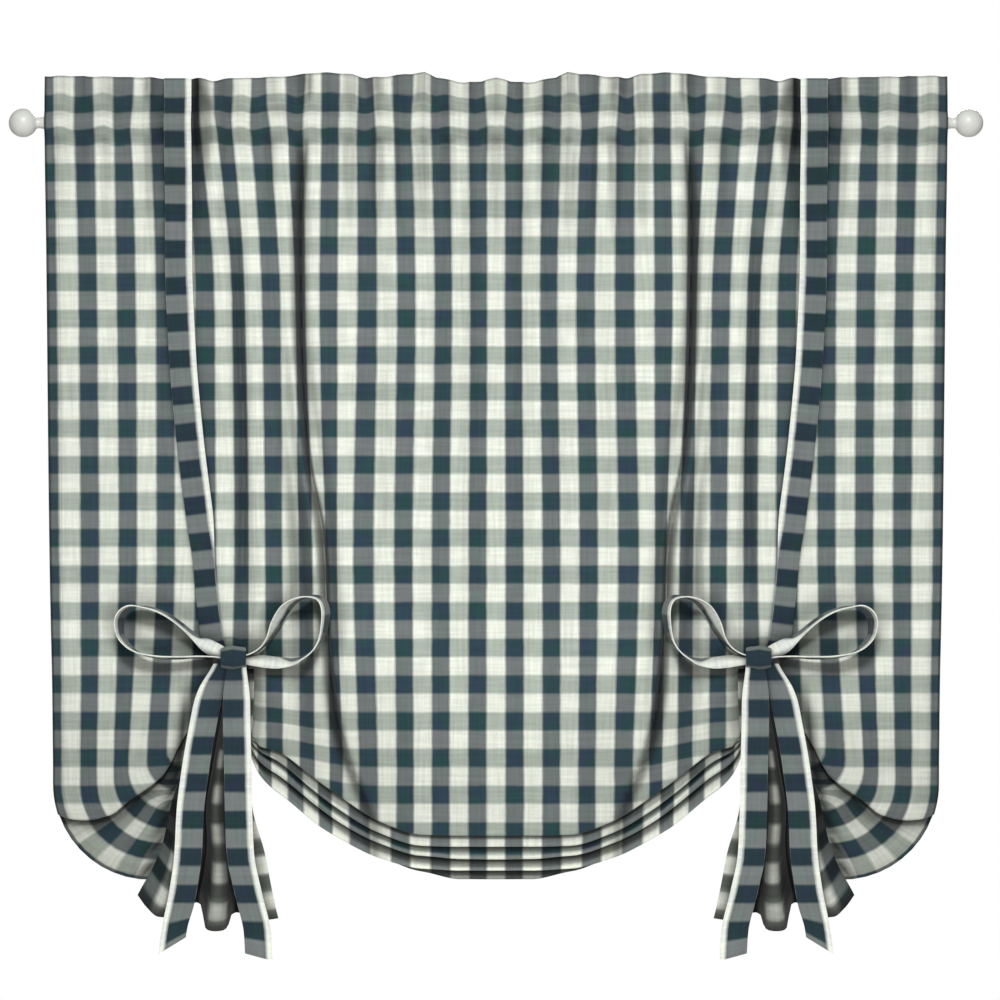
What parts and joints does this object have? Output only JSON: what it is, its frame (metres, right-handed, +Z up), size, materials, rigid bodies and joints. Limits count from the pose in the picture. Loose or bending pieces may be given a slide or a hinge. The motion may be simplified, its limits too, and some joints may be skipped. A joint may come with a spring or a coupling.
{
  "type": "tie-up shade on a curtain rod",
  "caption": "Gingham tie-up shade gathered on a white rod with ball finials; straps tied in bows draw its lower edge up into a swag with fanned gathers.",
  "frame": {"origin": "on the rod's axis, at the middle of its length", "axes": "+X along the rod to the viewer's right, +Y from the front of the shade to its back, +Z up"},
  "size_m": [1.053, 0.0949, 0.9529],
  "materials": {
    "gingham": "woven cotton gingham in slate navy and off-white, matt",
    "tie_cloth": "the same woven cotton gingham, cut in narrow hemmed straps, matt",
    "rod_paint": "white paint, satin",
    "finial_paint": "white paint, satin"
  },
  "bodies": {
    "root": {"rod": "rod_paint", "finial_left": "finial_paint", "finial_right": "finial_paint", "shade_panel": "gingham", "tie_front_left": "tie_cloth", "tie_front_right": "tie_cloth", "tie_back_left": "tie_cloth", "tie_back_right": "tie_cloth", "knot_left": "tie_cloth", "knot_right": "tie_cloth", "loop_outer_left": "tie_cloth", "loop_outer_right": "tie_cloth", "loop_inner_left": "tie_cloth", "loop_inner_right": "tie_cloth", "tail_outer_left": "tie_cloth", "tail_outer_right": "tie_cloth", "tail_inner_left": "tie_cloth", "tail_inner_right": "tie_cloth"}
  },
  "joints": []
}
